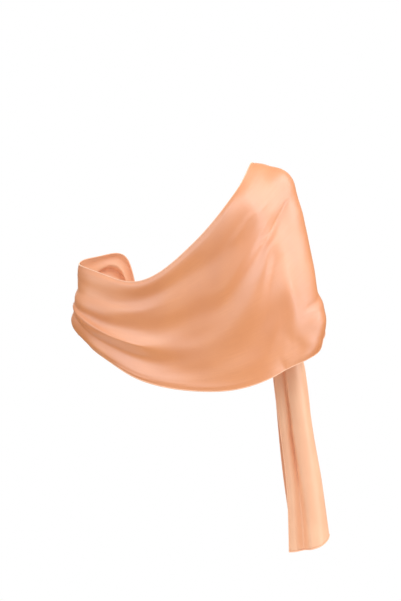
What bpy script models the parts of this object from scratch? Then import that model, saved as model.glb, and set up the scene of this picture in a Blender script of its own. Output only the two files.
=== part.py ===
"""Satin scarf, worn: over the right shoulder, across the back and round the left arm, both ends in front.

One rectangle of satin, modelled as the hollow form that it keeps on a general figure. The figure's
back faces -Y, its right side is at +X, and +Z is up. The origin is where the right shoulder carries
the cloth. The cloth is cut in five nodes, one for each stretch that shows.
"""

import bpy
import numpy as np

CM = 0.01
WALL = 0.0016  # thickness of the modelled cloth, in metres
SEAM_GAP = 0.0003  # between neighbouring stretches, in metres
ROWS_ALONG = 76  # rows of points from hem to hem
POINTS_ACROSS = 48  # points from the upper long edge to the lower one
SHOULDER_REST = (13.5, 0.6, 0.0)  # cm from the spine at shoulder height: the origin of the part
CLOTH_CLEARANCE = 0.3  # cm between the figure and the middle of the cloth
EASING_ROUNDS = 24  # passes that spread the lift off the figure over the cloth
SATIN_PEACH = (0.85, 0.36, 0.19, 1.0)

# The general figure under the cloth, as round limbs, in cm from the spine at shoulder height:
# name, one end (right, forward, up), its radius, other end, its radius.
FIGURE = (
    ("shoulder line", (-12.5, 0.4, -4.7), 4.4, (12.5, 0.4, -4.7), 4.4),
    ("upper back", (-7.0, -2.2, -12.5), 9.0, (7.0, -2.2, -12.5), 9.0),
    ("middle back", (-5.5, -2.4, -23.0), 8.8, (5.5, -2.4, -23.0), 8.8),
    ("waist", (-5.0, -1.0, -36.0), 8.2, (5.0, -1.0, -36.0), 8.2),
    ("chest", (-5.5, 1.6, -17.0), 8.4, (5.5, 1.6, -17.0), 8.4),
    ("right upper arm", (15.6, 0.2, -5.5), 4.5, (21.6, -2.2, -30.0), 4.0),
    ("right forearm", (22.2, -2.6, -33.2), 4.1, (18.6, 19.0, -31.0), 2.9),
    ("left upper arm", (-15.6, 0.2, -5.5), 4.5, (-21.6, -2.2, -30.0), 4.0),
    ("left forearm", (-22.0, -2.6, -32.6), 4.1, (-17.4, 19.0, -31.0), 2.9),
)

# Sections across the cloth, from the left hem to the right one, in cm (right, forward, up):
# name, upper long edge, a third across, two thirds across, lower long edge.
SECTIONS = (
    ("left hem", (-11.4, 5.2, -41.0), (-12.2, 9.2, -42.0), (-13.6, 13.4, -42.4), (-15.6, 17.0, -41.6)),
    ("left hang", (-12.2, 6.0, -33.4), (-13.0, 9.4, -34.2), (-13.9, 12.6, -34.4), (-14.8, 15.8, -33.8)),
    ("left fall", (-13.8, 6.8, -24.2), (-15.4, 9.2, -26.6), (-16.9, 11.8, -27.6), (-17.8, 14.8, -27.2)),
    ("left crook", (-16.4, 7.0, -18.8), (-20.0, 8.0, -22.9), (-22.6, 9.6, -26.6), (-24.0, 11.6, -29.6)),
    ("left front", (-20.6, 5.2, -19.2), (-23.0, 5.8, -23.9), (-24.8, 6.8, -28.9), (-25.7, 8.4, -33.6)),
    ("left side front", (-23.7, 2.4, -20.0), (-24.8, 2.6, -25.2), (-25.8, 3.0, -31.0), (-25.6, 3.8, -36.0)),
    ("left side", (-24.9, -1.2, -21.0), (-25.3, -1.3, -26.3), (-25.6, -1.4, -31.8), (-24.2, -1.6, -36.2)),
    ("left side back", (-23.2, -5.8, -22.0), (-24.0, -6.3, -27.3), (-24.0, -7.0, -33.2), (-21.9, -6.6, -38.3)),
    ("left gap", (-18.8, -8.6, -23.6), (-19.8, -9.6, -29.4), (-20.0, -10.2, -35.4), (-17.8, -10.6, -41.0)),
    ("back left", (-12.6, -10.8, -25.0), (-12.6, -11.6, -31.5), (-12.6, -12.2, -38.0), (-12.2, -13.0, -44.4)),
    ("back second", (-7.4, -11.7, -22.9), (-6.9, -12.2, -30.6), (-6.4, -12.7, -38.5), (-6.0, -13.7, -46.2)),
    ("back middle", (-2.6, -11.8, -18.9), (-1.7, -12.3, -28.0), (-0.6, -12.9, -37.5), (0.8, -13.8, -46.9)),
    ("back fourth", (1.8, -11.7, -14.4), (3.8, -12.4, -25.0), (5.8, -13.0, -36.2), (7.8, -13.6, -46.5)),
    ("back right", (5.6, -10.8, -9.6), (8.8, -11.8, -21.4), (12.0, -12.2, -33.4), (14.4, -11.6, -44.5)),
    ("shoulder back", (8.9, -7.4, -4.6), (14.2, -8.4, -16.2), (18.6, -9.4, -29.6), (19.8, -7.8, -41.8)),
    ("shoulder rear", (10.6, -3.4, -0.9), (17.3, -4.2, -10.2), (22.1, -5.2, -26.0), (24.4, -4.2, -39.5)),
    ("shoulder top", (11.2, 0.6, 0.2), (18.7, 0.2, -5.2), (23.7, -0.8, -24.5), (26.2, 0.4, -37.2)),
    ("shoulder front", (11.0, 4.4, -1.6), (17.9, 4.6, -8.8), (24.0, 3.2, -25.0), (27.1, 4.6, -35.2)),
    ("chest", (11.2, 8.0, -6.6), (17.4, 6.6, -14.8), (23.0, 5.6, -25.0), (26.0, 8.6, -32.0)),
    ("arm front", (12.0, 9.8, -13.0), (16.6, 8.4, -19.4), (21.0, 9.2, -25.6), (24.0, 13.0, -28.8)),
    ("right crook", (13.2, 9.0, -20.6), (15.8, 8.8, -24.8), (18.4, 11.4, -27.6), (20.8, 15.6, -28.0)),
    ("right fall", (14.2, 6.4, -29.4), (14.8, 8.4, -31.2), (15.2, 12.2, -32.2), (15.8, 16.4, -32.0)),
    ("under forearm", (15.2, 4.8, -37.4), (19.2, 3.8, -38.4), (20.4, 11.0, -38.8), (16.2, 16.0, -38.4)),
    ("right end top", (15.9, 4.0, -44.2), (21.2, 2.8, -44.6), (22.2, 10.4, -44.8), (16.8, 14.8, -44.4)),
    ("right end upper", (17.4, 2.8, -56.4), (22.9, 2.0, -56.4), (23.7, 10.2, -56.2), (17.6, 13.4, -56.0)),
    ("right end lower", (18.8, 1.9, -69.0), (24.4, 1.0, -68.2), (25.6, 10.0, -67.4), (18.8, 13.0, -67.8)),
    ("right hem", (19.2, 1.2, -81.9), (25.7, 0.2, -80.5), (27.2, 9.4, -78.0), (20.4, 12.6, -78.8)),
)

# Folds along the cloth, a row for each section. Each pair is a fold, from the upper edge to the lower
# one: how far across the cloth it lies there, from 0 to 1, and its height in cm out of the cloth.
# In order: cowl roll, cowl trough, then crest and trough in turn.
FOLDS = (
    ("left hem", (0.07, 1.2), (0.16, -1.6), (0.27, 1.9), (0.36, -1.3), (0.49, 1.7),
     (0.575, -1.8), (0.68, 1.3), (0.77, -1.7), (0.87, 1.6), (0.94, -0.8)),
    ("left crook", (0.09, 0.45), (0.20, -0.75), (0.31, 0.55), (0.43, -0.8), (0.54, 0.75),
     (0.63, -0.45), (0.74, 0.5), (0.83, -0.35), (0.91, 0.1), (0.96, -0.15)),
    ("left side", (0.08, 0.15), (0.32, -0.15), (0.43, 0.1), (0.53, -0.15), (0.57, 0.2),
     (0.64, -0.25), (0.80, 0.1), (0.92, -0.1), (0.95, 0.0), (0.98, 0.0)),
    ("left gap", (0.06, 0.3), (0.28, -0.38), (0.41, 0.12), (0.53, -0.36), (0.65, 0.42),
     (0.77, -0.4), (0.92, 0.15), (0.955, 0.1), (0.97, 0.1), (0.985, 0.0)),
    ("back left", (0.05, 0.3), (0.20, -0.38), (0.32, 0.14), (0.48, -0.4), (0.65, 0.4),
     (0.79, -0.42), (0.93, 0.15), (0.955, 0.1), (0.97, 0.1), (0.985, 0.0)),
    ("back second", (0.05, 0.3), (0.18, -0.28), (0.30, 0.12), (0.485, -0.36), (0.66, 0.25),
     (0.81, -0.22), (0.93, 0.1), (0.955, 0.1), (0.97, 0.05), (0.985, 0.0)),
    ("back middle", (0.05, 0.25), (0.19, -0.15), (0.32, 0.08), (0.53, -0.26), (0.69, 0.06),
     (0.83, -0.08), (0.92, 0.05), (0.95, 0.05), (0.97, 0.05), (0.985, 0.0)),
    ("back fourth", (0.05, 0.2), (0.18, -0.1), (0.32, 0.05), (0.49, -0.34), (0.65, 0.15),
     (0.80, -0.08), (0.90, 0.05), (0.95, 0.05), (0.97, 0.05), (0.985, 0.0)),
    ("back right", (0.05, 0.2), (0.12, 0.0), (0.23, 0.05), (0.39, -0.35), (0.54, 0.32),
     (0.72, -0.1), (0.86, 0.1), (0.92, 0.05), (0.95, 0.05), (0.98, 0.0)),
    ("shoulder back", (0.05, 0.1), (0.12, 0.0), (0.20, 0.0), (0.30, -0.3), (0.355, 0.32),
     (0.46, -0.2), (0.64, 0.15), (0.78, 0.0), (0.87, 0.05), (0.96, 0.0)),
    ("shoulder top", (0.06, 0.05), (0.14, 0.0), (0.20, 0.0), (0.26, -0.1), (0.36, 0.0),
     (0.48, 0.0), (0.62, 0.0), (0.745, -0.3), (0.82, 0.3), (0.92, 0.0)),
    ("right crook", (0.07, 0.2), (0.16, -0.1), (0.25, 0.6), (0.36, -0.8), (0.47, 1.0),
     (0.57, -1.0), (0.68, 1.0), (0.79, -0.9), (0.89, 0.7), (0.95, -0.4)),
    ("right end top", (0.06, -0.1), (0.115, 0.3), (0.17, -0.1), (0.32, 0.0), (0.47, 0.0),
     (0.56, 1.2), (0.66, -1.4), (0.76, 1.6), (0.86, -1.4), (0.94, 0.8)),
    ("right end upper", (0.045, -0.15), (0.092, 0.45), (0.15, -0.1), (0.33, 0.0), (0.48, 0.0),
     (0.57, 1.3), (0.67, -1.5), (0.77, 1.7), (0.86, -1.5), (0.94, 0.8)),
    ("right hem", (0.05, -0.2), (0.115, 0.9), (0.21, -0.15), (0.36, 0.0), (0.49, 0.0),
     (0.60, 1.6), (0.70, -1.8), (0.79, 1.9), (0.87, -1.7), (0.94, 1.0)),
)

# The nodes: name, first section, last section.
STRETCHES = (
    ("left_end", "left hem", "left side front"),
    ("back_drape", "left side front", "back right"),
    ("shoulder_drape", "back right", "chest"),
    ("forearm_drape", "chest", "right end top"),
    ("right_end", "right end top", "right hem"),
)


def spline_through(knots, values, at):
    """Natural cubic spline through values at the knots, read at the places asked for."""
    knots = np.asarray(knots, float)
    values = np.asarray(values, float)
    flat = values.reshape(len(knots), -1)
    step = np.diff(knots)
    slope = np.diff(flat, axis=0) / step[:, None]
    system = np.eye(len(knots))
    right = np.zeros_like(flat)
    for i in range(1, len(knots) - 1):
        system[i, i - 1 : i + 2] = step[i - 1], 2 * (step[i - 1] + step[i]), step[i]
        right[i] = 6 * (slope[i] - slope[i - 1])
    bend = np.linalg.solve(system, right)
    at = np.asarray(at, float)
    i = np.clip(np.searchsorted(knots, at, side="right") - 1, 0, len(step) - 1)
    h = step[i][:, None]
    a = ((knots[i + 1] - at) / step[i])[:, None]
    b = 1 - a
    cubic = ((a**3 - a) * bend[i] + (b**3 - b) * bend[i + 1]) * h**2 / 6
    return (a * flat[i] + b * flat[i + 1] + cubic).reshape(len(at), *values.shape[1:])


def eased_through(knots, values, at):
    """Smooth line through values at the knots that never swings past them."""
    knots = np.asarray(knots, float)
    values = np.asarray(values, float)
    step = np.diff(knots)
    slope = np.diff(values) / step
    tangent = np.zeros(len(knots))
    level = slope[:-1] * slope[1:] <= 0
    shared = 2 * slope[:-1] * slope[1:] / np.where(level, 1, slope[:-1] + slope[1:])
    tangent[1:-1] = np.where(level, 0, shared)
    tangent[0], tangent[-1] = slope[0], slope[-1]
    i = np.clip(np.searchsorted(knots, at, side="right") - 1, 0, len(step) - 1)
    s = (at - knots[i]) / step[i]
    rise = s * s * (3 - 2 * s)
    leave = s * (1 - s) ** 2 * step[i] * tangent[i]
    arrive = s * s * (s - 1) * step[i] * tangent[i + 1]
    return values[i] + (values[i + 1] - values[i]) * rise + leave + arrive


def running_length(points):
    """Length along a line of points, from 0 to its whole length."""
    steps = np.linalg.norm(np.diff(points, axis=0), axis=1)
    return np.concatenate([[0.0], np.cumsum(steps)])


def section_places():
    """Each section's place along the cloth, from 0 at the left hem to 1 at the right one."""
    middles = np.array([np.mean(row[1:5], axis=0) for row in SECTIONS])
    length = running_length(middles)
    return length / length[-1]


def place_of(name):
    return section_places()[[row[0] for row in SECTIONS].index(name)]


def even_across(line, count):
    """A line of points across the cloth, spaced evenly by length."""
    knots = running_length(line)
    fine = spline_through(knots, line, np.linspace(0, knots[-1], 4 * count))
    length = running_length(fine)
    even = np.linspace(0, length[-1], count)
    return np.stack([np.interp(even, length, fine[:, k]) for k in range(3)], axis=1)


def out_of_figure(points):
    """Moves points that lie in the figure out to its skin, plus the clearance."""
    for _, start, first_radius, end, last_radius in FIGURE:
        a, b = np.array(start), np.array(end)
        share = np.clip(((points - a) @ (b - a)) / ((b - a) @ (b - a)), 0, 1)
        nearest = a + share[..., None] * (b - a)
        reach = first_radius + share * (last_radius - first_radius) + CLOTH_CLEARANCE
        away = points - nearest
        distance = np.maximum(np.linalg.norm(away, axis=-1), 1e-6)
        push = np.maximum(reach - distance, 0) / distance
        points = points + away * push[..., None]
    return points


def laid_on_figure(grid):
    """Lifts the cloth clear of the figure, with the lift eased out over the cloth around it."""
    lift = np.zeros_like(grid)
    for _ in range(EASING_ROUNDS):
        here = grid + lift
        lift += out_of_figure(here) - here
        middle = lift[1:-1, 1:-1]
        around = (lift[:-2, 1:-1] + lift[2:, 1:-1] + lift[1:-1, :-2] + lift[1:-1, 2:]) / 4
        lift[1:-1, 1:-1] = (middle + around) / 2
        lift[:, 0] = lift[:, -1] = 0
    return grid + lift


def outward_normals(grid):
    """Unit normals of a grid of points, on the side of the cloth that faces out at the back."""
    along = np.gradient(grid, axis=0)
    across = np.gradient(grid, axis=1)
    normal = np.cross(across, along)
    return normal / np.maximum(np.linalg.norm(normal, axis=-1, keepdims=True), 1e-9)


def fold_heights(along, across):
    """Height of the folds in cm at each place along and across, as smooth waves between the crests."""
    knots = [place_of(row[0]) for row in FOLDS]
    table = np.array([((0, 0), *row[1:], (1, 0)) for row in FOLDS], float)
    places = np.stack([eased_through(knots, column, along) for column in table[:, :, 0].T])
    tops = np.stack([eased_through(knots, column, along) for column in table[:, :, 1].T])
    heights = np.zeros((len(along), len(across)))
    for k in range(len(places) - 1):
        span = np.maximum(places[k + 1] - places[k], 1e-6)[:, None]
        share = (across[None, :] - places[k][:, None]) / span
        wave = share**2 * (3 - 2 * share)
        here = tops[k][:, None] + (tops[k + 1] - tops[k])[:, None] * wave
        heights = np.where((share >= 0) & (share <= 1), here, heights)
    return heights


def cloth_grid(rows, points):
    """The middle of the cloth as a grid of points, in metres from the shoulder rest."""
    knots = section_places()
    columns = np.array([row[1:5] for row in SECTIONS])
    along = np.linspace(0, 1, rows)
    coarse = spline_through(knots, columns, along)
    grid = np.stack([even_across(line, points) for line in coarse])
    grid = laid_on_figure(grid)
    heights = fold_heights(along, np.linspace(0, 1, points))
    grid = grid + outward_normals(grid) * heights[..., None]
    return (grid - np.array(SHOULDER_REST)) * CM


def cut_out(grid, first, last):
    """The rows of the cloth between two places along it, with half the seam gap left at each cut."""
    rows = len(grid) - 1
    start, end = round(first * rows), round(last * rows)
    piece = grid[start : end + 1].copy()
    for edge, inner, at_cut in ((0, 1, start > 0), (-1, -2, end < rows)):
        if at_cut:
            inward = piece[inner] - piece[edge]
            reach = np.linalg.norm(inward, axis=1, keepdims=True)
            piece[edge] += inward / np.maximum(reach, 1e-9) * SEAM_GAP / 2
    return piece


def shell_faces(rows, points):
    """Faces of a closed wall: outer side, inner side and the four edges between them."""
    def outer(i, j):
        return i * points + j

    def inner(i, j):
        return rows * points + i * points + j

    faces = []
    for i in range(rows - 1):
        for j in range(points - 1):
            faces.append((outer(i, j), outer(i, j + 1), outer(i + 1, j + 1), outer(i + 1, j)))
            faces.append((inner(i, j), inner(i + 1, j), inner(i + 1, j + 1), inner(i, j + 1)))
    for i in range(rows - 1):
        faces.append((outer(i, 0), outer(i + 1, 0), inner(i + 1, 0), inner(i, 0)))
        last = points - 1
        faces.append((outer(i + 1, last), outer(i, last), inner(i, last), inner(i + 1, last)))
    for j in range(points - 1):
        faces.append((outer(0, j + 1), outer(0, j), inner(0, j), inner(0, j + 1)))
        last = rows - 1
        faces.append((outer(last, j), outer(last, j + 1), inner(last, j + 1), inner(last, j)))
    return faces


def satin_material():
    material = bpy.data.materials.new("peach satin")
    material.use_nodes = True
    shader = material.node_tree.nodes["Principled BSDF"]
    shader.inputs["Base Color"].default_value = SATIN_PEACH
    shader.inputs["Roughness"].default_value = 0.38
    shader.inputs["Metallic"].default_value = 0.0
    material.diffuse_color = SATIN_PEACH
    return material


def add_stretch(name, outer, inner, material):
    """One stretch of the cloth as a closed wall between its outer and its inner side."""
    rows, points = outer.shape[:2]
    vertices = np.concatenate([outer.reshape(-1, 3), inner.reshape(-1, 3)])
    mesh = bpy.data.meshes.new(name)
    mesh.from_pydata([tuple(v) for v in vertices], [], shell_faces(rows, points))
    mesh.update()
    mesh.shade_smooth()
    mesh.set_sharp_from_angle(angle=1.2)
    mesh.materials.append(material)
    body = bpy.data.objects.new(name, mesh)
    bpy.context.scene.collection.objects.link(body)
    return body


def main():
    for old in list(bpy.data.objects):
        bpy.data.objects.remove(old)
    material = satin_material()
    grid = cloth_grid(ROWS_ALONG, POINTS_ACROSS)
    half_wall = outward_normals(grid) * WALL / 2
    for name, first, last in STRETCHES:
        start, end = place_of(first), place_of(last)
        outer = cut_out(grid + half_wall, start, end)
        inner = cut_out(grid - half_wall, start, end)
        add_stretch(name, outer, inner, material)


main()
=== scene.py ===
"""Satin stole as it is worn: over the right shoulder, down across the back and round the left arm.

One panel of peach satin with narrow rolled hems, hand stitched. It keeps the form that it has on a
general figure whose back faces -Y, with its right side at +X and +Z up. The origin is where the top of
the right shoulder carries the cloth. Lengths in the tables are in cm, as a dressmaker measures them.
"""

import bpy
import numpy as np
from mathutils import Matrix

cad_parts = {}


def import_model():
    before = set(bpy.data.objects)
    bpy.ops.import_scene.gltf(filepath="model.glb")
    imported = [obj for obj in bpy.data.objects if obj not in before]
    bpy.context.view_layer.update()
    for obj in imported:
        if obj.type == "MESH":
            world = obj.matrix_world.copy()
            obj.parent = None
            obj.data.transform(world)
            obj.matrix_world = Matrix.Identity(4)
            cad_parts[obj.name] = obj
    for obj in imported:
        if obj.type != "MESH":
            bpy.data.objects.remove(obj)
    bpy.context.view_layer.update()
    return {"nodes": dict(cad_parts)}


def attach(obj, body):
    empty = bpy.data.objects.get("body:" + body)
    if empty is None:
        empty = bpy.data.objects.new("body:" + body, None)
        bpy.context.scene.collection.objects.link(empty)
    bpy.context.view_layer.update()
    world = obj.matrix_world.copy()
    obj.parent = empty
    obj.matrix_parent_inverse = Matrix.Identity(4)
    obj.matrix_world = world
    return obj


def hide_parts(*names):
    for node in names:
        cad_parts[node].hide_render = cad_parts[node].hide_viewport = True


CM = 0.01
MM = 0.001

# The panel
SATIN_THICKNESS = 0.7 * MM  # drawn a little fuller than the real 0.25 mm, so that its edge reads
LAID_ROWS = 76  # rows and points on which the cloth is laid on the figure, as in the solids
LAID_POINTS = 48
ROWS_ALONG = 330  # rows of points from hem to hem on the finished panel
POINTS_ACROSS = 140  # points from the upper long edge to the lower one
SHOULDER_REST = (13.5, 0.6, 0.0)  # cm from the spine at shoulder height: the origin
CLOTH_CLEARANCE = 0.3  # cm between the figure and the middle of the cloth
EASING_ROUNDS = 24  # passes that spread the lift off the figure over the cloth

# The hems
HEM_ROLL = 2.3 * MM  # thickness of the hand-rolled hem
HEM_PUCKER = 0.10  # how unevenly it is rolled, as a share of its thickness
HEM_PUCKER_SPACING = 14 * MM
STITCH_SPACING = 4.6 * MM
STITCH_LENGTH = 2.2 * MM
STITCH_THREAD = 0.45 * MM
STITCH_SEED = 5
HEM_EASE = 14 * MM  # how far from a hem the cloth still shows that it is sewn
HEM_TONE = 0.2  # how far its colour goes towards the deeper one there
SEWN_PUCKER_LENGTH = 9 * MM
SEWN_PUCKER_WIDTH = 12 * MM

# The weave. The real threads lie 0.12 mm apart; these are as coarse as they need to be to show.
FLOAT_WIDTH = 0.6 * MM
FLOAT_LENGTH = 4.2 * MM
FLOAT_GAP = 0.06 * MM
FLOAT_RELIEF = 0.12 * MM
SLUB_WIDTH = 1.6 * MM
SLUB_LENGTH = 60 * MM
SEWN_RELIEF = 0.9 * MM
DYE_PATCHES = 9.0  # for each metre

# The general figure under the cloth, as round limbs, in cm from the spine at shoulder height:
# name, one end (right, forward, up), its radius, other end, its radius.
FIGURE = (
    ("shoulder line", (-12.5, 0.4, -4.7), 4.4, (12.5, 0.4, -4.7), 4.4),
    ("upper back", (-7.0, -2.2, -12.5), 9.0, (7.0, -2.2, -12.5), 9.0),
    ("middle back", (-5.5, -2.4, -23.0), 8.8, (5.5, -2.4, -23.0), 8.8),
    ("waist", (-5.0, -1.0, -36.0), 8.2, (5.0, -1.0, -36.0), 8.2),
    ("chest", (-5.5, 1.6, -17.0), 8.4, (5.5, 1.6, -17.0), 8.4),
    ("right upper arm", (15.6, 0.2, -5.5), 4.5, (21.6, -2.2, -30.0), 4.0),
    ("right forearm", (22.2, -2.6, -33.2), 4.1, (18.6, 19.0, -31.0), 2.9),
    ("left upper arm", (-15.6, 0.2, -5.5), 4.5, (-21.6, -2.2, -30.0), 4.0),
    ("left forearm", (-22.0, -2.6, -32.6), 4.1, (-17.4, 19.0, -31.0), 2.9),
)

# Sections across the cloth, from the left hem to the right one, in cm (right, forward, up):
# name, upper long edge, a third across, two thirds across, lower long edge.
SECTIONS = (
    ("left hem", (-11.4, 5.2, -41.0), (-12.2, 9.2, -42.0), (-13.6, 13.4, -42.4), (-15.6, 17.0, -41.6)),
    ("left hang", (-12.2, 6.0, -33.4), (-13.0, 9.4, -34.2), (-13.9, 12.6, -34.4), (-14.8, 15.8, -33.8)),
    ("left fall", (-13.8, 6.8, -24.2), (-15.4, 9.2, -26.6), (-16.9, 11.8, -27.6), (-17.8, 14.8, -27.2)),
    ("left crook", (-16.4, 7.0, -18.8), (-20.0, 8.0, -22.9), (-22.6, 9.6, -26.6), (-24.0, 11.6, -29.6)),
    ("left front", (-20.6, 5.2, -19.2), (-23.0, 5.8, -23.9), (-24.8, 6.8, -28.9), (-25.7, 8.4, -33.6)),
    ("left side front", (-23.7, 2.4, -20.0), (-24.8, 2.6, -25.2), (-25.8, 3.0, -31.0), (-25.6, 3.8, -36.0)),
    ("left side", (-24.9, -1.2, -21.0), (-25.3, -1.3, -26.3), (-25.6, -1.4, -31.8), (-24.2, -1.6, -36.2)),
    ("left side back", (-23.2, -5.8, -22.0), (-24.0, -6.3, -27.3), (-24.0, -7.0, -33.2),
     (-21.9, -6.6, -38.3)),
    ("left gap", (-18.8, -8.6, -23.6), (-19.8, -9.6, -29.4), (-20.0, -10.2, -35.4), (-17.8, -10.6, -41.0)),
    ("back left", (-12.6, -10.8, -25.0), (-12.6, -11.6, -31.5), (-12.6, -12.2, -38.0),
     (-12.2, -13.0, -44.4)),
    ("back second", (-7.4, -11.7, -22.9), (-6.9, -12.2, -30.6), (-6.4, -12.7, -38.5), (-6.0, -13.7, -46.2)),
    ("back middle", (-2.6, -11.8, -18.9), (-1.7, -12.3, -28.0), (-0.6, -12.9, -37.5), (0.8, -13.8, -46.9)),
    ("back fourth", (1.8, -11.7, -14.4), (3.8, -12.4, -25.0), (5.8, -13.0, -36.2), (7.8, -13.6, -46.5)),
    ("back right", (5.6, -10.8, -9.6), (8.8, -11.8, -21.4), (12.0, -12.2, -33.4), (14.4, -11.6, -44.5)),
    ("shoulder back", (8.9, -7.4, -4.6), (14.2, -8.4, -16.2), (18.6, -9.4, -29.6), (19.8, -7.8, -41.8)),
    ("shoulder rear", (10.6, -3.4, -0.9), (17.3, -4.2, -10.2), (22.1, -5.2, -26.0), (24.4, -4.2, -39.5)),
    ("shoulder top", (11.2, 0.6, 0.2), (18.7, 0.2, -5.2), (23.7, -0.8, -24.5), (26.2, 0.4, -37.2)),
    ("shoulder front", (11.0, 4.4, -1.6), (17.9, 4.6, -8.8), (24.0, 3.2, -25.0), (27.1, 4.6, -35.2)),
    ("chest", (11.2, 8.0, -6.6), (17.4, 6.6, -14.8), (23.0, 5.6, -25.0), (26.0, 8.6, -32.0)),
    ("arm front", (12.0, 9.8, -13.0), (16.6, 8.4, -19.4), (21.0, 9.2, -25.6), (24.0, 13.0, -28.8)),
    ("right crook", (13.2, 9.0, -20.6), (15.8, 8.8, -24.8), (18.4, 11.4, -27.6), (20.8, 15.6, -28.0)),
    ("right fall", (14.2, 6.4, -29.4), (14.8, 8.4, -31.2), (15.2, 12.2, -32.2), (15.8, 16.4, -32.0)),
    ("under forearm", (15.2, 4.8, -37.4), (19.2, 3.8, -38.4), (20.4, 11.0, -38.8), (16.2, 16.0, -38.4)),
    ("right end top", (15.9, 4.0, -44.2), (21.2, 2.8, -44.6), (22.2, 10.4, -44.8), (16.8, 14.8, -44.4)),
    ("right end upper", (17.4, 2.8, -56.4), (22.9, 2.0, -56.4), (23.7, 10.2, -56.2), (17.6, 13.4, -56.0)),
    ("right end lower", (18.8, 1.9, -69.0), (24.4, 1.0, -68.2), (25.6, 10.0, -67.4), (18.8, 13.0, -67.8)),
    ("right hem", (19.2, 1.2, -81.9), (25.7, 0.2, -80.5), (27.2, 9.4, -78.0), (20.4, 12.6, -78.8)),
)

# Folds along the cloth, a row for each section. Each pair is a fold, from the upper edge to the lower
# one: how far across the cloth it lies there, from 0 to 1, and its height in cm out of the cloth.
# In order: the roll of the upper edge, then troughs and crests in turn, some of them flat.
FOLDS = (
    ("left hem", (0.07, 1.2), (0.16, -1.6), (0.27, 1.9), (0.36, -1.3), (0.49, 1.7),
     (0.575, -1.8), (0.68, 1.3), (0.77, -1.7), (0.87, 1.6), (0.94, -0.8)),
    ("left crook", (0.09, 0.45), (0.20, -0.75), (0.31, 0.55), (0.43, -0.8), (0.54, 0.75),
     (0.63, -0.45), (0.74, 0.5), (0.83, -0.35), (0.91, 0.1), (0.96, -0.15)),
    ("left side", (0.08, 0.15), (0.32, -0.15), (0.43, 0.1), (0.53, -0.15), (0.57, 0.2),
     (0.64, -0.25), (0.80, 0.1), (0.92, -0.1), (0.95, 0.0), (0.98, 0.0)),
    ("left gap", (0.06, 0.3), (0.28, -0.34), (0.41, 0.12), (0.53, -0.36), (0.65, 0.42),
     (0.77, -0.4), (0.92, 0.15), (0.955, 0.1), (0.97, 0.1), (0.985, 0.0)),
    ("back left", (0.05, 0.26), (0.20, -0.29), (0.32, 0.13), (0.48, -0.36), (0.65, 0.4),
     (0.79, -0.42), (0.93, 0.15), (0.955, 0.1), (0.97, 0.1), (0.985, 0.0)),
    ("back second", (0.05, 0.26), (0.18, -0.22), (0.30, 0.10), (0.485, -0.27), (0.66, 0.20),
     (0.81, -0.18), (0.93, 0.1), (0.955, 0.1), (0.97, 0.05), (0.985, 0.0)),
    ("back middle", (0.05, 0.25), (0.19, -0.15), (0.32, 0.08), (0.53, -0.26), (0.69, 0.06),
     (0.83, -0.08), (0.92, 0.05), (0.95, 0.05), (0.97, 0.05), (0.985, 0.0)),
    ("back fourth", (0.05, 0.2), (0.20, -0.12), (0.385, 0.06), (0.49, -0.32), (0.65, 0.15),
     (0.80, -0.08), (0.90, 0.05), (0.95, 0.05), (0.97, 0.05), (0.985, 0.0)),
    ("back right", (0.05, 0.2), (0.16, -0.12), (0.325, 0.06), (0.41, -0.35), (0.55, 0.32),
     (0.72, -0.1), (0.86, 0.1), (0.92, 0.05), (0.95, 0.05), (0.98, 0.0)),
    ("shoulder back", (0.05, 0.1), (0.13, -0.05), (0.25, 0.04), (0.31, -0.3), (0.37, 0.32),
     (0.46, -0.2), (0.64, 0.15), (0.78, 0.0), (0.87, 0.05), (0.96, 0.0)),
    ("shoulder top", (0.06, 0.05), (0.14, 0.0), (0.20, 0.0), (0.26, -0.1), (0.36, 0.0),
     (0.48, 0.0), (0.62, 0.0), (0.745, -0.3), (0.82, 0.3), (0.92, 0.0)),
    ("right crook", (0.07, 0.2), (0.16, -0.1), (0.25, 0.6), (0.36, -0.8), (0.47, 1.0),
     (0.57, -1.0), (0.68, 1.0), (0.79, -0.9), (0.89, 0.7), (0.95, -0.4)),
    ("right end top", (0.06, -0.1), (0.115, 0.3), (0.17, -0.1), (0.32, 0.0), (0.47, 0.0),
     (0.56, 1.2), (0.66, -1.4), (0.76, 1.6), (0.86, -1.4), (0.94, 0.8)),
    ("right end upper", (0.045, -0.15), (0.092, 0.45), (0.15, -0.1), (0.33, 0.0), (0.48, 0.0),
     (0.57, 1.3), (0.67, -1.2), (0.77, 1.7), (0.86, -1.5), (0.94, 0.8)),
    ("right hem", (0.05, -0.2), (0.12, 1.5), (0.20, -0.2), (0.36, 0.0), (0.49, 0.0),
     (0.60, 1.3), (0.70, -1.0), (0.79, 1.9), (0.87, -1.7), (0.94, 1.0)),
)

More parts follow.
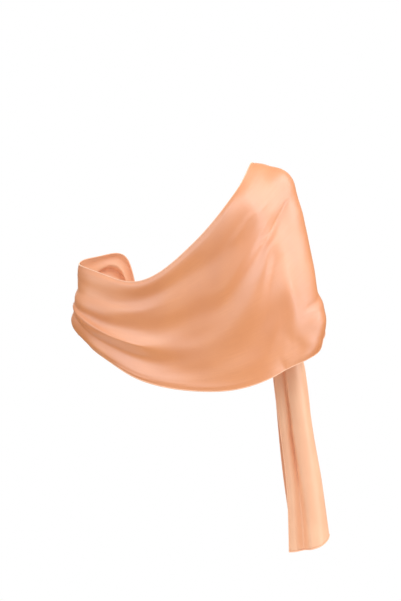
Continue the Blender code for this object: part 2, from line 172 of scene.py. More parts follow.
# Creases: name, half width in cm, height in cm, and the points that each runs through, as (section
# counted from the left hem, share across). A crease fades out at both its ends.
CREASES = (
    ("left fold lip", 0.32, 0.26,
     ((5.4, 0.53), (6.75, 0.562), (7.8, 0.604), (8.41, 0.637), (9.03, 0.650), (9.71, 0.646))),
    ("left fold shadow", 0.8, -0.15,
     ((5.6, 0.60), (6.8, 0.63), (7.8, 0.69), (8.41, 0.74), (9.03, 0.75), (9.9, 0.75))),
    ("left side front tuck", 0.5, -0.2, ((3.6, 0.38), (4.4, 0.36), (5.4, 0.35), (6.2, 0.34))),
    ("left front lip", 0.5, 0.2, ((3.4, 0.68), (4.2, 0.66), (5.2, 0.62), (6.0, 0.60))),
    ("shoulder pinch", 0.5, -0.26,
     ((15.15, 0.24), (14.99, 0.257), (14.62, 0.284), (14.13, 0.312), (13.74, 0.339), (13.3, 0.395))),
    ("arm ridge", 2.0, 0.42,
     ((14.6, 0.36), (14.20, 0.46), (14.03, 0.58), (13.99, 0.68), (14.0, 0.80), (14.0, 0.92))),
    ("thin pull", 0.7, 0.14,
     ((14.6, 0.170), (14.27, 0.170), (13.61, 0.165), (13.27, 0.178), (12.92, 0.187), (12.3, 0.195))),
    ("elbow notch", 0.6, -0.12, ((15.9, 0.760), (15.3, 0.762), (14.8, 0.752), (14.3, 0.745))),
    ("elbow notch lip", 0.5, 0.12,
     ((16.0, 0.805), (15.42, 0.796), (15.0, 0.786), (14.52, 0.775), (14.1, 0.775))),
    ("elbow second", 0.5, -0.06, ((16.0, 0.85), (15.4, 0.835), (14.8, 0.84), (14.3, 0.86))),
    ("lower edge flare", 1.4, 0.22,
     ((6.6, 0.99), (7.6, 0.995), (8.8, 0.995), (10.0, 0.995), (11.2, 0.995), (12.4, 0.99))),
    ("lower shade", 1.2, -0.07, ((14.9, 0.95), (14.3, 0.925), (13.71, 0.82), (13.2, 0.78))),
    ("elbow flare", 2.1, 0.75,
     ((13.5, 0.972), (14.1, 0.966), (14.7, 0.962), (15.3, 0.958), (16.3, 0.955))),
    ("elbow fill", 1.6, 0.32,
     ((13.8, 0.87), (14.4, 0.902), (15.0, 0.918), (15.7, 0.922), (16.6, 0.925))),
    ("arm side fall", 1.2, -0.25, ((16.4, 0.30), (16.7, 0.45), (16.9, 0.60), (16.8, 0.74))),
    ("front pinch", 0.6, -0.3, ((16.9, 0.16), (17.5, 0.22), (18.2, 0.30), (19.0, 0.34))),
    ("front pinch lip", 0.6, 0.24, ((17.0, 0.22), (17.6, 0.28), (18.3, 0.36), (19.1, 0.40))),
    ("front pull", 0.55, -0.22, ((17.2, 0.48), (17.9, 0.50), (18.6, 0.53), (19.4, 0.56))),
    ("front elbow tuck", 0.5, -0.24, ((16.6, 0.86), (17.4, 0.84), (18.2, 0.82), (19.2, 0.80))),
    ("crook gather", 0.45, 0.2, ((18.8, 0.62), (19.5, 0.62), (20.2, 0.62), (20.9, 0.60))),
    ("end groove", 0.32, 0.95,
     ((22.3, 0.117), (23.3, 0.114), (23.8, 0.102), (24.3, 0.096), (24.83, 0.100), (25.7, 0.112))),
    ("end front fall", 0.6, 0.2, ((23.2, 0.50), (24.2, 0.51), (25.2, 0.53), (26.0, 0.55))),
)
CREASE_STEPS = 90  # points along the line of a crease, of which every ninth sets its curve

# Faint waves that no fold of the table gives, in cm
FAINT_WAVES = 26
FAINT_HEIGHT = 0.006
FAINT_LENGTHS = (14, 48)
FAINT_WIDTHS = (3.2, 9.0)
FAINT_SEED = 11
WORN_LENGTH = 177  # cm along the worn cloth, and its usual width, which set the waves' scale
WORN_WIDTH = 30

# The photograph's view
VIEW_DISTANCE = 2.60  # metres from the spine
VIEW_HEIGHT = -0.288  # metres from the shoulder rest
VIEW_SIDE = 0.005  # metres to the right of the spine
METRES_PER_PIXEL = 0.0021
PIXELS_HIGH = 601

# The studio: a pale floor and soft boxes, each with its place, width and height in metres, and watts
FLOOR_HEIGHT = -1.42  # the shoulder's height over the floor on a general figure
FLOOR_RADIUS = 1.6
FLOOR_CENTRE = -0.13  # under the spine
FLOOR_POINTS = 96
CLOTH_MIDDLE = (-0.10, 0.0, -0.28)
SOFT_BOXES = (
    ("high soft box", (0.1, -2.26, 1.65), (3.2, 1.8), 26),
    ("right strip box", (2.40, -0.46, -0.06), (0.5, 2.6), 22),
    ("top right box", (1.46, -0.45, 1.35), (1.2, 1.3), 12),
    ("left soft box", (-2.3, -1.4, 0.2), (2.0, 2.0), 10),
    ("front fill", (-0.3, 2.4, 0.6), (2.2, 1.8), 24),
)


def spline_through(knots, values, at):
    """Natural cubic spline through values at the knots, read at the places asked for."""
    knots = np.asarray(knots, float)
    values = np.asarray(values, float)
    flat = values.reshape(len(knots), -1)
    step = np.diff(knots)
    slope = np.diff(flat, axis=0) / step[:, None]
    system = np.eye(len(knots))
    right = np.zeros_like(flat)
    for i in range(1, len(knots) - 1):
        system[i, i - 1 : i + 2] = step[i - 1], 2 * (step[i - 1] + step[i]), step[i]
        right[i] = 6 * (slope[i] - slope[i - 1])
    bend = np.linalg.solve(system, right)
    at = np.asarray(at, float)
    i = np.clip(np.searchsorted(knots, at, side="right") - 1, 0, len(step) - 1)
    h = step[i][:, None]
    a = ((knots[i + 1] - at) / step[i])[:, None]
    b = 1 - a
    cubic = ((a**3 - a) * bend[i] + (b**3 - b) * bend[i + 1]) * h**2 / 6
    return (a * flat[i] + b * flat[i + 1] + cubic).reshape(len(at), *values.shape[1:])


def eased_through(knots, values, at):
    """Smooth line through values at the knots that never swings past them."""
    knots = np.asarray(knots, float)
    values = np.asarray(values, float)
    step = np.diff(knots)
    slope = np.diff(values) / step
    tangent = np.zeros(len(knots))
    level = slope[:-1] * slope[1:] <= 0
    shared = 2 * slope[:-1] * slope[1:] / np.where(level, 1, slope[:-1] + slope[1:])
    tangent[1:-1] = np.where(level, 0, shared)
    tangent[0], tangent[-1] = slope[0], slope[-1]
    i = np.clip(np.searchsorted(knots, at, side="right") - 1, 0, len(step) - 1)
    s = (at - knots[i]) / step[i]
    rise = s * s * (3 - 2 * s)
    leave = s * (1 - s) ** 2 * step[i] * tangent[i]
    arrive = s * s * (s - 1) * step[i] * tangent[i + 1]
    return values[i] + (values[i + 1] - values[i]) * rise + leave + arrive


def running_length(points):
    """Length along a line of points, from 0 to its whole length."""
    steps = np.linalg.norm(np.diff(points, axis=0), axis=1)
    return np.concatenate([[0.0], np.cumsum(steps)])


def section_places():
    """Each section's place along the cloth, from 0 at the left hem to 1 at the right one."""
    middles = np.array([np.mean(row[1:5], axis=0) for row in SECTIONS])
    length = running_length(middles)
    return length / length[-1]


def place_of(name):
    """The place of one section along the cloth."""
    return section_places()[[row[0] for row in SECTIONS].index(name)]


def even_across(line, count):
    """A line of points across the cloth, spaced evenly by length."""
    knots = running_length(line)
    fine = spline_through(knots, line, np.linspace(0, knots[-1], 4 * count))
    length = running_length(fine)
    even = np.linspace(0, length[-1], count)
    return np.stack([np.interp(even, length, fine[:, k]) for k in range(3)], axis=1)


def out_of_figure(points):
    """Moves points that lie in the figure out to its skin, plus the clearance."""
    for _, start, first_radius, end, last_radius in FIGURE:
        a, b = np.array(start), np.array(end)
        share = np.clip(((points - a) @ (b - a)) / ((b - a) @ (b - a)), 0, 1)
        nearest = a + share[..., None] * (b - a)
        reach = first_radius + share * (last_radius - first_radius) + CLOTH_CLEARANCE
        away = points - nearest
        distance = np.maximum(np.linalg.norm(away, axis=-1), 1e-6)
        push = np.maximum(reach - distance, 0) / distance
        points = points + away * push[..., None]
    return points


def laid_on_figure(grid):
    """Lifts the cloth clear of the figure, with the lift eased out over the cloth around it."""
    lift = np.zeros_like(grid)
    for _ in range(EASING_ROUNDS):
        here = grid + lift
        lift += out_of_figure(here) - here
        middle = lift[1:-1, 1:-1]
        around = (lift[:-2, 1:-1] + lift[2:, 1:-1] + lift[1:-1, :-2] + lift[1:-1, 2:]) / 4
        lift[1:-1, 1:-1] = (middle + around) / 2
        lift[:, 0] = lift[:, -1] = 0
    return grid + lift


def outward_normals(grid):
    """Unit normals of a grid of points, on the side of the cloth that faces out at the back."""
    along = np.gradient(grid, axis=0)
    across = np.gradient(grid, axis=1)
    normal = np.cross(across, along)
    return normal / np.maximum(np.linalg.norm(normal, axis=-1, keepdims=True), 1e-9)


def finer(grid, rows, points):
    """The same surface on more rows and points."""
    tall = spline_through(np.linspace(0, 1, len(grid)), grid, np.linspace(0, 1, rows))
    turned = np.transpose(tall, (1, 0, 2))
    wide = spline_through(np.linspace(0, 1, len(turned)), turned, np.linspace(0, 1, points))
    return np.transpose(wide, (1, 0, 2))


def fold_heights(along, across):
    """Height of the folds in cm at each place along and across, as smooth waves between the crests."""
    knots = [place_of(row[0]) for row in FOLDS]
    table = np.array([((0, 0), *row[1:], (1, 0)) for row in FOLDS], float)
    places = np.stack([eased_through(knots, column, along) for column in table[:, :, 0].T])
    tops = np.stack([eased_through(knots, column, along) for column in table[:, :, 1].T])
    heights = np.zeros((len(along), len(across)))
    for k in range(len(places) - 1):
        span = np.maximum(places[k + 1] - places[k], 1e-6)[:, None]
        share = (across[None, :] - places[k][:, None]) / span
        wave = share**2 * (3 - 2 * share)
        here = tops[k][:, None] + (tops[k + 1] - tops[k])[:, None] * wave
        heights = np.where((share >= 0) & (share <= 1), here, heights)
    return heights


def crease_heights(grid, along, across):
    """Height of the creases in cm, each a soft ridge or trough round a line on the cloth."""
    places = section_places()
    heights = np.zeros(grid.shape[:2])
    for _, half_width, height, points in CREASES:
        sections, shares = np.array(points).T
        steps = np.linspace(0, 1, CREASE_STEPS)
        knots = np.linspace(0, 1, len(points))
        at = np.interp(spline_through(knots, sections, steps), np.arange(len(places)), places)
        share = np.clip(spline_through(knots, shares, steps), 0, 1)
        line = grid[
            np.clip(np.searchsorted(along, at), 0, len(along) - 1),
            np.clip(np.searchsorted(across, share), 0, len(across) - 1),
        ]
        line = line[::9]
        line = spline_through(np.linspace(0, 1, len(line)), line, steps)
        apart = np.linalg.norm(grid[:, :, None, :] - line[None, None], axis=-1)
        nearest = np.argmin(apart, axis=-1)
        distance = np.min(apart, axis=-1)
        fade = np.sin(np.pi * steps) ** 0.8
        heights += height * np.exp(-((distance / half_width) ** 2)) * fade[nearest]
    return heights


def faint_waves(along, across):
    """Slight unevenness of limp cloth, as long waves that mostly run along the folds, in cm."""
    chance = np.random.default_rng(FAINT_SEED)
    heights = np.zeros((len(along), len(across)))
    for _ in range(FAINT_WAVES):
        length = chance.uniform(*FAINT_LENGTHS)
        width = chance.uniform(*FAINT_WIDTHS)
        start = chance.uniform(0, 2 * np.pi)
        slant = chance.choice((-1, 1))
        down_cloth = along[:, None] * WORN_LENGTH / length
        over_cloth = slant * across[None, :] * WORN_WIDTH / width
        heights += FAINT_HEIGHT * np.sin(2 * np.pi * (down_cloth + over_cloth) + start)
    edge = np.clip(np.minimum(across, 1 - across) / 0.05, 0, 1)
    return heights * edge[None, :]


def cloth_middle():
    """The middle of the cloth as a grid of points, in metres from the shoulder rest."""
    columns = np.array([row[1:5] for row in SECTIONS])
    coarse = spline_through(section_places(), columns, np.linspace(0, 1, LAID_ROWS))
    laid = laid_on_figure(np.stack([even_across(line, LAID_POINTS) for line in coarse]))
    grid = finer(laid, ROWS_ALONG, POINTS_ACROSS)
    along = np.linspace(0, 1, ROWS_ALONG)
    across = np.linspace(0, 1, POINTS_ACROSS)
    heights = fold_heights(along, across) + crease_heights(grid, along, across)
    heights += faint_waves(along, across)
    grid = grid + outward_normals(grid) * heights[..., None]
    return (grid - np.array(SHOULDER_REST)) * CM


def shell_faces(rows, points):
    """Faces of a closed sheet: its outer side, then its reverse, then its four edges."""
    place = np.arange(rows * points).reshape(rows, points)
    back = place + rows * points
    outer = np.stack([place[:-1, :-1], place[:-1, 1:], place[1:, 1:], place[1:, :-1]], -1)
    reverse = np.stack([back[:-1, :-1], back[1:, :-1], back[1:, 1:], back[:-1, 1:]], -1)
    upper = np.stack([place[:-1, 0], place[1:, 0], back[1:, 0], back[:-1, 0]], -1)
    lower = np.stack([place[1:, -1], place[:-1, -1], back[:-1, -1], back[1:, -1]], -1)
    left = np.stack([place[0, 1:], place[0, :-1], back[0, :-1], back[0, 1:]], -1)
    right = np.stack([place[-1, :-1], place[-1, 1:], back[-1, 1:], back[-1, :-1]], -1)
    return [part.reshape(-1, 4) for part in (outer, reverse, upper, lower, left, right)]


def satin_panel(grid, materials):
    """The panel as one closed thin sheet, with its cut measured in metres in the UV map."""
    rows, points = grid.shape[:2]
    half = outward_normals(grid) * SATIN_THICKNESS / 2
    vertices = np.concatenate([(grid + half).reshape(-1, 3), (grid - half).reshape(-1, 3)])
    sides = shell_faces(rows, points)
    faces = np.concatenate(sides)
    mesh = bpy.data.meshes.new("satin_panel")
    mesh.from_pydata(vertices.tolist(), [], faces.tolist())
    for material in materials:
        mesh.materials.append(material)
    finish = np.zeros(len(faces), np.int32)
    finish[len(sides[0]) : len(sides[0]) + len(sides[1])] = 1
    mesh.polygons.foreach_set("material_index", finish)

    along = np.linalg.norm(np.diff(grid, axis=0), axis=-1).mean(axis=1)
    across = np.linalg.norm(np.diff(grid, axis=1), axis=-1).mean(axis=0)
    u = np.concatenate([[0], np.cumsum(along)])
    v = np.concatenate([[0], np.cumsum(across)])
    cut = np.stack(np.meshgrid(u, v, indexing="ij"), -1).reshape(-1, 2)
    cut = np.concatenate([cut, cut])
    layer = mesh.uv_layers.new(name="cut")
    layer.uv.foreach_set("vector", cut[faces.ravel()].astype(np.float32).ravel())

    # Distance from the nearest hem, in metres, for the pucker and the deeper tone that a hem has.
    from_hem = np.minimum.reduce([cut[:, 0], u[-1] - cut[:, 0], cut[:, 1], v[-1] - cut[:, 1]])
    hem = mesh.attributes.new("from_hem", "FLOAT", "POINT")
    hem.data.foreach_set("value", from_hem.astype(np.float32))
    mesh.shade_smooth()
    mesh.update()
    panel = bpy.data.objects.new("satin_panel", mesh)
    bpy.context.scene.collection.objects.link(panel)
    return panel


def edge_lines(grid, inward, outward):
    """The panel's four edges, each moved onto the cloth by inward and off it by outward."""
    normal = outward_normals(grid)
    lines = []
    for edge, second in (
        (grid[:, 0], grid[:, 1]),
        (grid[:, -1], grid[:, -2]),
        (grid[0], grid[1]),
        (grid[-1], grid[-2]),
    ):
        step = second - edge
        step /= np.maximum(np.linalg.norm(step, axis=1, keepdims=True), 1e-9)
        lines.append(edge + step * inward)
    for line, side in zip(lines, (normal[:, 0], normal[:, -1], normal[0], normal[-1])):
        line += side * outward
    return lines


def line_object(name, lines):
    """Lines of points as one mesh of loose edges, for a node tree to follow."""
    points = np.concatenate(lines)
    edges = []
    first = 0
    for line in lines:
        edges += [(first + i, first + i + 1) for i in range(len(line) - 1)]
        first += len(line)
    mesh = bpy.data.meshes.new(name)
    mesh.from_pydata(points.tolist(), edges, [])
    obj = bpy.data.objects.new(name, mesh)
    bpy.context.scene.collection.objects.link(obj)
    return obj


def put(tree, kind, settings=None, **links):
    """Adds a node: its settings, then each input as a value or as the output socket that feeds it."""
    node = tree.nodes.new(kind)
    for name, value in (settings or {}).items():
        setattr(node, name, value)
    for name, value in links.items():
        wanted = name.replace("_", " ").strip()
        socket = next(
            s for s in node.inputs if s.enabled and wanted in (s.name, s.identifier.replace("_", " "))
        )
        if isinstance(value, bpy.types.NodeSocket):
            tree.links.new(value, socket)
        else:
            socket.default_value = value
    return node


def new_tree(name, sizes):
    """A geometry node tree with its named inputs. sizes is (name, kind, value) for each."""
    tree = bpy.data.node_groups.new(name, "GeometryNodeTree")
    tree.interface.new_socket("Geometry", in_out="INPUT", socket_type="NodeSocketGeometry")
    for size_name, kind, value in sizes:
        socket = tree.interface.new_socket(size_name, in_out="INPUT", socket_type=kind)
        socket.default_value = value
    tree.interface.new_socket("Geometry", in_out="OUTPUT", socket_type="NodeSocketGeometry")
    return tree, tree.nodes.new("NodeGroupInput").outputs


def made_by(tree, obj, values):
    """Runs the tree on the object with its input values and returns a plain mesh object."""
    modifier = obj.modifiers.new(tree.name, "NODES")
    modifier.node_group = tree
    for item in tree.interface.items_tree:
        if item.in_out == "INPUT" and item.name in values:
            modifier[item.identifier] = values[item.name]
    graph = bpy.context.evaluated_depsgraph_get()
    mesh = bpy.data.meshes.new_from_object(obj.evaluated_get(graph))
    name = obj.name
    bpy.data.objects.remove(obj)
    mesh.name = name
    made = bpy.data.objects.new(name, mesh)
    bpy.context.scene.collection.objects.link(made)
    return made


def rolled_hem(grid, material):
    """The hand-rolled hem, a slightly uneven roll along each edge of the panel."""
    tree, given = new_tree(
        "hem roll",
        (
            ("Roll thickness", "NodeSocketFloat", HEM_ROLL),
            ("Pucker", "NodeSocketFloat", HEM_PUCKER),
            ("Pucker spacing", "NodeSocketFloat", HEM_PUCKER_SPACING),
            ("Seed", "NodeSocketFloat", 3.0),
        ),
    )
    path = put(tree, "GeometryNodeMeshToCurve", Mesh=given["Geometry"])
    place = put(tree, "GeometryNodeInputPosition")
    per_pucker = put(tree, "ShaderNodeMath", {"operation": "DIVIDE"}, Value=1.0)
    tree.links.new(given["Pucker spacing"], per_pucker.inputs[1])
    noise = put(
        tree, "ShaderNodeTexNoise", {"noise_dimensions": "4D"},
        Vector=place.outputs[0], W=given["Seed"], Scale=per_pucker.outputs[0], Detail=1.0,
    )
    swing = put(tree, "ShaderNodeMapRange", Value=noise.outputs[0], To_Min=-1.0, To_Max=1.0)
    uneven = put(tree, "ShaderNodeMath", {"operation": "MULTIPLY_ADD"}, Value=swing.outputs[0])
    tree.links.new(given["Pucker"], uneven.inputs[1])
    uneven.inputs[2].default_value = 1.0
    rolled = put(
        tree, "GeometryNodeSetCurveRadius", Curve=path.outputs[0], Radius=uneven.outputs[0]
    )
    half = put(tree, "ShaderNodeMath", {"operation": "MULTIPLY"}, Value=given["Roll thickness"])
    half.inputs[1].default_value = 0.5
    ring = put(tree, "GeometryNodeCurvePrimitiveCircle", Resolution=8, Radius=half.outputs[0])
    roll = put(
        tree, "GeometryNodeCurveToMesh",
        Curve=rolled.outputs[0], Profile_Curve=ring.outputs[0], Fill_Caps=True,
    )
    smooth = put(tree, "GeometryNodeSetShadeSmooth", Geometry=roll.outputs[0])
    whole = put(tree, "GeometryNodeRealizeInstances", Geometry=smooth.outputs[0])
    covered = put(tree, "GeometryNodeSetMaterial", Geometry=whole.outputs[0], Material=material)
    put(tree, "NodeGroupOutput", Geometry=covered.outputs[0])
    lines = edge_lines(grid, HEM_ROLL * 0.2, -HEM_ROLL * 0.12)
    return made_by(tree, line_object("rolled_hem", lines), {"Roll thickness": HEM_ROLL})


def hem_stitches(grid, material):
    """Slip stitches in a line on the reverse, where the roll meets the cloth."""
    tree, given = new_tree(
        "slip stitches",
        (
            ("Spacing", "NodeSocketFloat", STITCH_SPACING),
            ("Length", "NodeSocketFloat", STITCH_LENGTH),
            ("Thread", "NodeSocketFloat", STITCH_THREAD),
            ("Seed", "NodeSocketInt", STITCH_SEED),
        ),
    )
    path = put(tree, "GeometryNodeMeshToCurve", Mesh=given["Geometry"])
    spots = put(
        tree, "GeometryNodeCurveToPoints", {"mode": "LENGTH"},
        Curve=path.outputs[0], Length=given["Spacing"],
    )
    bead = put(tree, "GeometryNodeMeshUVSphere", Segments=6, Rings=4, Radius=0.5)
    shape = put(
        tree, "ShaderNodeCombineXYZ", X=given["Thread"], Y=given["Thread"], Z=given["Length"]
    )
    stitch = put(tree, "GeometryNodeTransform", Geometry=bead.outputs[0], Scale=shape.outputs[0])
    sewn = put(
        tree, "GeometryNodeInstanceOnPoints",
        Points=spots.outputs["Points"], Instance=stitch.outputs[0], Rotation=spots.outputs["Rotation"],
    )
    lean = put(
        tree, "FunctionNodeRandomValue", {"data_type": "FLOAT_VECTOR"}, Seed=given["Seed"]
    )
    lean.inputs[0].default_value = (0.25, -0.2, 0.0)
    lean.inputs[1].default_value = (0.65, 0.2, 0.0)
    leaning = put(tree, "GeometryNodeRotateInstances", Instances=sewn.outputs[0])
    tree.links.new(lean.outputs[0], leaning.inputs["Rotation"])
    smooth = put(tree, "GeometryNodeSetShadeSmooth", Geometry=leaning.outputs[0])
    whole = put(tree, "GeometryNodeRealizeInstances", Geometry=smooth.outputs[0])
    covered = put(tree, "GeometryNodeSetMaterial", Geometry=whole.outputs[0], Material=material)
    put(tree, "NodeGroupOutput", Geometry=covered.outputs[0])
    lines = edge_lines(grid, HEM_ROLL * 0.85, -(SATIN_THICKNESS / 2 + STITCH_THREAD * 0.3))
    return made_by(tree, line_object("hem_stitches", lines), {"Spacing": STITCH_SPACING})


def linear(hex_colour):
    """An sRGB hex colour as linear red, green, blue and full opacity."""
    parts = [int(hex_colour[i : i + 2], 16) / 255 for i in (1, 3, 5)]
    lit = [c / 12.92 if c <= 0.04045 else ((c + 0.055) / 1.055) ** 2.4 for c in parts]
    return (*lit, 1.0)


def satin_weave(name, thread, shade, roughness, gloss, streak_depth):
    """Warp-faced satin: long warp floats along the cloth give it streaks and a soft, stretched gloss."""
    material = bpy.data.materials.new(name)
    material.use_nodes = True
    tree = material.node_tree
    shader = tree.nodes["Principled BSDF"]
    cut = put(tree, "ShaderNodeUVMap", {"uv_map": "cut"}).outputs[0]

    # Slubs: thicker places in the yarn, long along the warp.
    slub_place = put(
        tree, "ShaderNodeMapping", Vector=cut, Scale=(1 / SLUB_LENGTH, 1 / SLUB_WIDTH, 1)
    )
    slubs = put(
        tree, "ShaderNodeTexNoise", {"noise_dimensions": "2D"},
        Vector=slub_place.outputs[0], Scale=1.0, Detail=3.0, Roughness=0.55,
    )
    # Floats: each warp thread passes over several weft threads before it dips.
    floats = put(
        tree, "ShaderNodeTexBrick", {"offset": 0.4, "offset_frequency": 2},
        Vector=cut, Scale=1.0, Mortar_Size=FLOAT_GAP, Mortar_Smooth=1.0,
        Brick_Width=FLOAT_LENGTH, Row_Height=FLOAT_WIDTH,
    )
    # Dye takes a little unevenly over a hand's width.
    tone = put(
        tree, "ShaderNodeTexNoise", {"noise_dimensions": "2D"},
        Vector=cut, Scale=DYE_PATCHES, Detail=2.0, Roughness=0.5,
    )
    # Cloth near a hem is handled and sewn: a little deeper in tone, and puckered.
    hem = put(tree, "ShaderNodeAttribute", {"attribute_name": "from_hem"})
    near_hem = put(
        tree, "ShaderNodeMapRange", {"interpolation_type": "SMOOTHSTEP"},
        Value=hem.outputs["Fac"], From_Min=0.0, From_Max=HEM_EASE, To_Min=1.0, To_Max=0.0,
    )
    pucker_place = put(
        tree, "ShaderNodeMapping",
        Vector=cut, Scale=(1 / SEWN_PUCKER_LENGTH, 1 / SEWN_PUCKER_WIDTH, 1),
    )
    puckers = put(
        tree, "ShaderNodeTexNoise", {"noise_dimensions": "2D"},
        Vector=pucker_place.outputs[0], Scale=1.0, Detail=1.0,
    )

    patch = put(
        tree, "ShaderNodeMapRange", Value=tone.outputs[0], From_Min=0.35, From_Max=0.65
    )
    dye = put(tree, "ShaderNodeMix", {"data_type": "RGBA"}, Factor=patch.outputs[0])
    dye.inputs[6].default_value = linear(thread)
    dye.inputs[7].default_value = linear(shade)
    streak = put(
        tree, "ShaderNodeMapRange", Value=slubs.outputs[0],
        From_Min=0.3, From_Max=0.7, To_Min=0.0, To_Max=streak_depth,
    )
    streaked = put(tree, "ShaderNodeMix", {"data_type": "RGBA"}, Factor=streak.outputs[0])
    tree.links.new(dye.outputs[2], streaked.inputs[6])
    streaked.inputs[7].default_value = linear(shade)
    hem_share = put(tree, "ShaderNodeMath", {"operation": "MULTIPLY"}, Value=near_hem.outputs[0])
    hem_share.inputs[1].default_value = HEM_TONE
    coloured = put(tree, "ShaderNodeMix", {"data_type": "RGBA"}, Factor=hem_share.outputs[0])
    tree.links.new(streaked.outputs[2], coloured.inputs[6])
    coloured.inputs[7].default_value = linear(shade)
    tree.links.new(coloured.outputs[2], shader.inputs["Base Color"])

    # The gloss is a little broader where a slub breaks up the floats.
    rough = put(
        tree, "ShaderNodeMapRange", Value=slubs.outputs[0],
        From_Min=0.25, From_Max=0.75, To_Min=roughness - 0.04, To_Max=roughness + 0.05,
    )
    tree.links.new(rough.outputs[0], shader.inputs["Roughness"])

    # The relief: slubs stand up, the gaps between floats lie low, and sewing puckers the cloth.
    yarn = put(tree, "ShaderNodeMath", {"operation": "MULTIPLY_ADD"}, Value=floats.outputs["Fac"])
    yarn.inputs[1].default_value = -0.35
    tree.links.new(slubs.outputs[0], yarn.inputs[2])
    woven = put(
        tree, "ShaderNodeBump", Height=yarn.outputs[0], Strength=0.35, Distance=FLOAT_RELIEF
    )
    pucker = put(tree, "ShaderNodeMath", {"operation": "MULTIPLY"}, Value=near_hem.outputs[0])
    tree.links.new(puckers.outputs[0], pucker.inputs[1])
    sewn = put(
        tree, "ShaderNodeBump",
        Height=pucker.outputs[0], Strength=0.5, Distance=SEWN_RELIEF, Normal=woven.outputs[0],
    )
    tree.links.new(sewn.outputs[0], shader.inputs["Normal"])

    # Parallel floats stretch the gloss, which is strong and a little cooler than the dyed cloth.
    tangent = put(tree, "ShaderNodeTangent", {"direction_type": "UV_MAP", "uv_map": "cut"})
    tree.links.new(tangent.outputs[0], shader.inputs["Tangent"])
    shader.inputs["Anisotropic"].default_value = 0.3
    shader.inputs["IOR"].default_value = 1.9
    shader.inputs["Specular IOR Level"].default_value = gloss
    shader.inputs["Specular Tint"].default_value = linear("#DDF3FF")
    # Loose fibre ends give the faintest pale bloom at the edges of a fold.
    shader.inputs["Sheen Weight"].default_value = 0.06
    shader.inputs["Sheen Roughness"].default_value = 0.4
    shader.inputs["Sheen Tint"].default_value = linear("#FFDCC8")
    return material


def satin_roll_painted_highlight():
    """The satin rolled on itself at the hem: floats stand on edge as ridges. Its colour is painted pale all
    round, a painted highlight for the light those ridges catch.
    """
    material = bpy.data.materials.new("rolled satin edge")
    material.use_nodes = True
    tree = material.node_tree
    shader = tree.nodes["Principled BSDF"]
    place = put(tree, "ShaderNodeTexCoord").outputs["Object"]
    ridges = put(
        tree, "ShaderNodeTexNoise", {"noise_dimensions": "3D"},
        Vector=place, Scale=1 / 0.0022, Detail=2.0,
    )
    # Painted highlight: both tones are far paler than the cloth, so the roll looks lit even where it faces
    # down into shade.
    tone = put(tree, "ShaderNodeMix", {"data_type": "RGBA"}, Factor=ridges.outputs[0])
    tone.inputs[6].default_value = linear("#FFD3B4")
    tone.inputs[7].default_value = linear("#F8C09A")
    tree.links.new(tone.outputs[2], shader.inputs["Base Color"])
    bump = put(tree, "ShaderNodeBump", Height=ridges.outputs[0], Strength=0.4, Distance=0.3 * MM)
    tree.links.new(bump.outputs[0], shader.inputs["Normal"])
    shader.inputs["Roughness"].default_value = 0.42
    shader.inputs["IOR"].default_value = 1.54
    shader.inputs["Sheen Weight"].default_value = 0.12
    shader.inputs["Sheen Tint"].default_value = linear("#FFDCC8")
    return material


def spun_polyester_thread():
    """Spun polyester sewing thread: matt, with a fine twist, dyed to match the cloth."""
    material = bpy.data.materials.new("spun polyester thread")
    material.use_nodes = True
    tree = material.node_tree
    shader = tree.nodes["Principled BSDF"]
    place = put(tree, "ShaderNodeTexCoord").outputs["Object"]
    twist = put(
        tree, "ShaderNodeTexNoise", {"noise_dimensions": "3D"},
        Vector=place, Scale=1 / 0.0005, Detail=1.0,
    )
    tone = put(tree, "ShaderNodeMix", {"data_type": "RGBA"}, Factor=twist.outputs[0])
    tone.inputs[6].default_value = linear("#EFA27A")
    tone.inputs[7].default_value = linear("#D98C62")
    tree.links.new(tone.outputs[2], shader.inputs["Base Color"])
    bump = put(tree, "ShaderNodeBump", Height=twist.outputs[0], Strength=0.5, Distance=0.1 * MM)
    tree.links.new(bump.outputs[0], shader.inputs["Normal"])
    shader.inputs["Roughness"].default_value = 0.7
    shader.inputs["IOR"].default_value = 1.54
    return material


def pale_floor():
    """A round, matt, pale floor at standing height under the shoulder."""
    material = bpy.data.materials.new("pale matt floor paint")
    material.use_nodes = True
    shader = material.node_tree.nodes["Principled BSDF"]
    shader.inputs["Base Color"].default_value = linear("#F4F2EF")
    shader.inputs["Roughness"].default_value = 0.9
    turn = np.linspace(0, 2 * np.pi, FLOOR_POINTS, endpoint=False)
    across = FLOOR_RADIUS * np.cos(turn) + FLOOR_CENTRE
    forward = FLOOR_RADIUS * np.sin(turn)
    rim = [(x, y, FLOOR_HEIGHT) for x, y in zip(across, forward)]
    mesh = bpy.data.meshes.new("floor")
    mesh.from_pydata(rim, [], [list(range(FLOOR_POINTS))])
    mesh.materials.append(material)
    floor = bpy.data.objects.new("floor", mesh)
    bpy.context.scene.collection.objects.link(floor)


def soft_box(name, place, size, watts):
    """A rectangular white light that faces the middle of the cloth."""
    lamp = bpy.data.lights.new(name, "AREA")
    lamp.shape = "RECTANGLE"
    lamp.size, lamp.size_y = size
    lamp.energy = watts
    light = bpy.data.objects.new(name, lamp)
    bpy.context.scene.collection.objects.link(light)
    light.location = place
    x, y, z = np.array(CLOTH_MIDDLE) - np.array(place)
    light.rotation_euler = (np.arctan2(np.hypot(x, y), -z), 0.0, np.arctan2(y, x) - np.pi / 2)


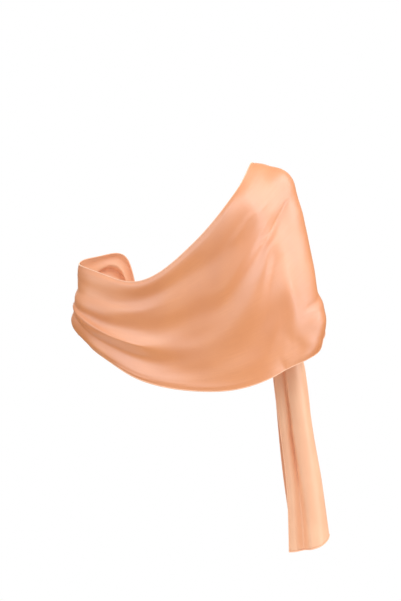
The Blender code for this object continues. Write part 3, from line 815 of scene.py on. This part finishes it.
def studio():
    """Soft light all round, dimmer from below and from beyond the cloth, and the soft boxes."""
    world = bpy.data.worlds.new("studio")
    bpy.context.scene.world = world
    world.use_nodes = True
    tree = world.node_tree
    tree.nodes.clear()
    way = put(tree, "ShaderNodeTexCoord").outputs["Generated"]
    way = put(tree, "ShaderNodeSeparateXYZ", Vector=way).outputs
    upward = put(
        tree, "ShaderNodeMapRange", {"interpolation_type": "SMOOTHSTEP"},
        Value=way["Z"], From_Min=-0.45, From_Max=0.65, To_Min=0.2, To_Max=1.0,
    )
    beyond = put(
        tree, "ShaderNodeMapRange", {"interpolation_type": "SMOOTHSTEP"},
        Value=way["Y"], From_Min=0.0, From_Max=0.8, To_Min=1.0, To_Max=0.5,
    )
    strength = put(tree, "ShaderNodeMath", {"operation": "MULTIPLY"}, Value=upward.outputs[0])
    tree.links.new(beyond.outputs[0], strength.inputs[1])
    glow = put(tree, "ShaderNodeBackground", Color=linear("#FFFFFF"), Strength=strength.outputs[0])
    backdrop = put(tree, "ShaderNodeBackground", Color=linear("#FFFFFF"), Strength=1.0)
    seen = put(tree, "ShaderNodeLightPath")
    both = put(tree, "ShaderNodeMixShader")
    tree.links.new(seen.outputs["Is Camera Ray"], both.inputs[0])
    tree.links.new(glow.outputs[0], both.inputs[1])
    tree.links.new(backdrop.outputs[0], both.inputs[2])
    put(tree, "ShaderNodeOutputWorld", Surface=both.outputs[0])
    for box in SOFT_BOXES:
        soft_box(*box)


def photograph_camera():
    """Level view from behind, as far off as the photograph's perspective gives."""
    lens = bpy.data.cameras.new("camera")
    lens.sensor_fit = "VERTICAL"
    lens.sensor_height = 36
    lens.lens = 36 * VIEW_DISTANCE / (METRES_PER_PIXEL * PIXELS_HIGH)
    lens.clip_end = 50
    camera = bpy.data.objects.new("camera", lens)
    bpy.context.scene.collection.objects.link(camera)
    spine, forward = (-SHOULDER_REST[0] * CM, -SHOULDER_REST[1] * CM)
    camera.location = (spine + VIEW_SIDE, forward - VIEW_DISTANCE, VIEW_HEIGHT)
    camera.rotation_euler = (np.pi / 2, 0, 0)
    bpy.context.scene.camera = camera


def main():
    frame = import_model()
    photograph_camera()
    studio()
    pale_floor()
    bpy.context.scene.view_settings.view_transform = "Standard"

    grid = cloth_middle()
    face = satin_weave(
        "peach warp satin, face", thread="#ED954F", shade="#E48B47",
        roughness=0.42, gloss=0.85, streak_depth=0.5,
    )
    # The reverse is matt and a little paler in its own right. The rest of its much paler colour is painted
    # light, standing in for the light that falls on the hanging end.
    reverse = satin_weave(
        "peach warp satin, reverse", thread="#FBC49B", shade="#F4B78E",
        roughness=0.55, gloss=0.45, streak_depth=0.4,
    )
    panel = satin_panel(grid, (face, reverse))
    hem = rolled_hem(grid, satin_roll_painted_highlight())
    stitches = hem_stitches(grid, spun_polyester_thread())

    for piece in (panel, hem, stitches):
        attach(piece, "root")
    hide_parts(*frame["nodes"])


main()
